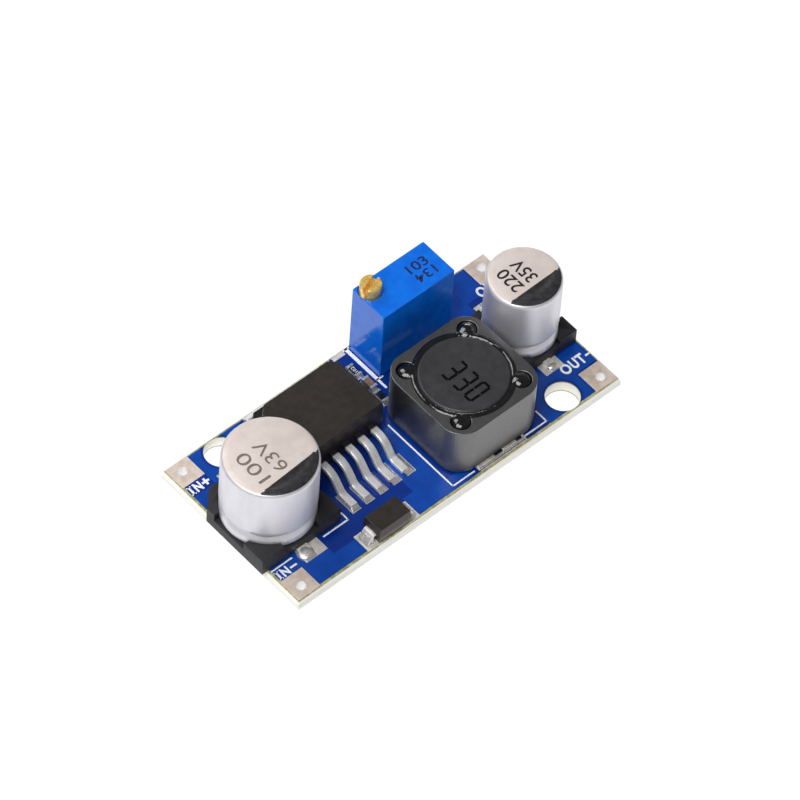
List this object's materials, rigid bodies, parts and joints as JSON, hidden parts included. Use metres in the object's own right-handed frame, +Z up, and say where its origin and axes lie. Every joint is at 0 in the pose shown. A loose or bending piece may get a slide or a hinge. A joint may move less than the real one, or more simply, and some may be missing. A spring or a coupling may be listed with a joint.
{
  "type": "buck converter module",
  "caption": "Small adjustable DC-DC step-down board with power inductor, two electrolytic capacitors, regulator, diode and a multi-turn trimmer.",
  "frame": {"origin": "centre of the board's underside, midway between the two mounting holes", "axes": "+X from the input end to the output end, +Y towards the plus terminals, +Z up out of the component side"},
  "size_m": [0.044, 0.021, 0.0139],
  "materials": {
    "solder_mask_board": "deep blue gloss solder mask over copper on glass-epoxy laminate, pale bare edges",
    "tinned_copper": "hot-air levelled tin, softly reflective and slightly warm",
    "moulding_compound": "black filled epoxy with a fine matte grain",
    "tinned_lead_frame": "bright matte tin plating",
    "ferrite": "dark grey sintered ferrite, dull and finely grained",
    "enamelled_copper": "glossy enamelled copper wire",
    "black_epoxy": "black cured adhesive with a wet gloss",
    "can_aluminium": "satin drawn aluminium under a clear coat",
    "black_base_plastic": "black satin moulded base",
    "chip_resistor_ceramic": "black glazed top on white alumina",
    "chip_capacitor_ceramic": "brown fired ceramic",
    "blue_trimmer_plastic": "bright blue moulded plastic with a satin gloss",
    "alumina": "white alumina with a dark resistive track",
    "screw_brass": "turned brass, bright edges",
    "seal_rubber": "black rubber",
    "wheel_plastic": "natural white moulded plastic",
    "wiper_bronze": "spring bronze sheet",
    "solder": "bright reflowed solder"
  },
  "bodies": {
    "module": {"circuit_board": "solder_mask_board", "input_plus_terminal": "tinned_copper", "input_minus_terminal": "tinned_copper", "output_plus_terminal": "tinned_copper", "output_minus_terminal": "tinned_copper", "surface_lands": "tinned_copper", "regulator_body": "moulding_compound", "regulator_tab": "tinned_lead_frame", "regulator_lead_1": "tinned_lead_frame", "regulator_lead_2": "tinned_lead_frame", "regulator_lead_4": "tinned_lead_frame", "regulator_lead_5": "tinned_lead_frame", "inductor_shield": "ferrite", "inductor_core": "ferrite", "inductor_winding": "enamelled_copper", "inductor_potting": "black_epoxy", "inductor_front_strap": "tinned_lead_frame", "inductor_back_strap": "tinned_lead_frame", "input_capacitor_can": "can_aluminium", "input_capacitor_base": "black_base_plastic", "input_capacitor_plus_lead": "tinned_lead_frame", "input_capacitor_minus_lead": "tinned_lead_frame", "output_capacitor_can": "can_aluminium", "output_capacitor_base": "black_base_plastic", "output_capacitor_plus_lead": "tinned_lead_frame", "output_capacitor_minus_lead": "tinned_lead_frame", "diode_body": "moulding_compound", "diode_cathode_lead": "tinned_lead_frame", "diode_anode_lead": "tinned_lead_frame", "feedback_resistor_block": "chip_resistor_ceramic", "feedback_resistor_caps": "tinned_lead_frame", "divider_resistor_block": "chip_resistor_ceramic", "divider_resistor_caps": "tinned_lead_frame", "compensation_capacitor_block": "chip_capacitor_ceramic", "compensation_capacitor_caps": "tinned_lead_frame", "trimmer_housing": "blue_trimmer_plastic", "trimmer_element": "alumina", "trimmer_seal": "black_epoxy", "trimmer_pin_1": "tinned_lead_frame", "trimmer_pin_2": "tinned_lead_frame", "trimmer_pin_3": "tinned_lead_frame", "regulator_solder": "solder", "diode_solder": "solder", "chip_solder": "solder", "capacitor_solder": "solder", "inductor_solder": "solder", "trimmer_solder": "solder"},
    "screw": {"trimmer_screw": "screw_brass", "trimmer_seal_ring": "seal_rubber"},
    "wheel": {"trimmer_wheel": "wheel_plastic", "trimmer_wiper": "wiper_bronze"}
  },
  "joints": [
    {"name": "trimmer_screw_turn", "type": "hinge", "parent": "module", "child": "screw", "pos_m": [0.00404, 0.0087, 0.01], "axis": [0, 0, 1], "range_deg": [-4500, 4500]},
    {"name": "trimmer_wheel_turn", "type": "hinge", "parent": "module", "child": "wheel", "pos_m": [0.00754, 0.0087, 0.0059], "axis": [0, 1, 0], "range_deg": [-137, 137]}
  ],
  "couplings": [
    {"joint": "trimmer_wheel_turn", "follows": "trimmer_screw_turn", "ratio": -0.030303}
  ]
}
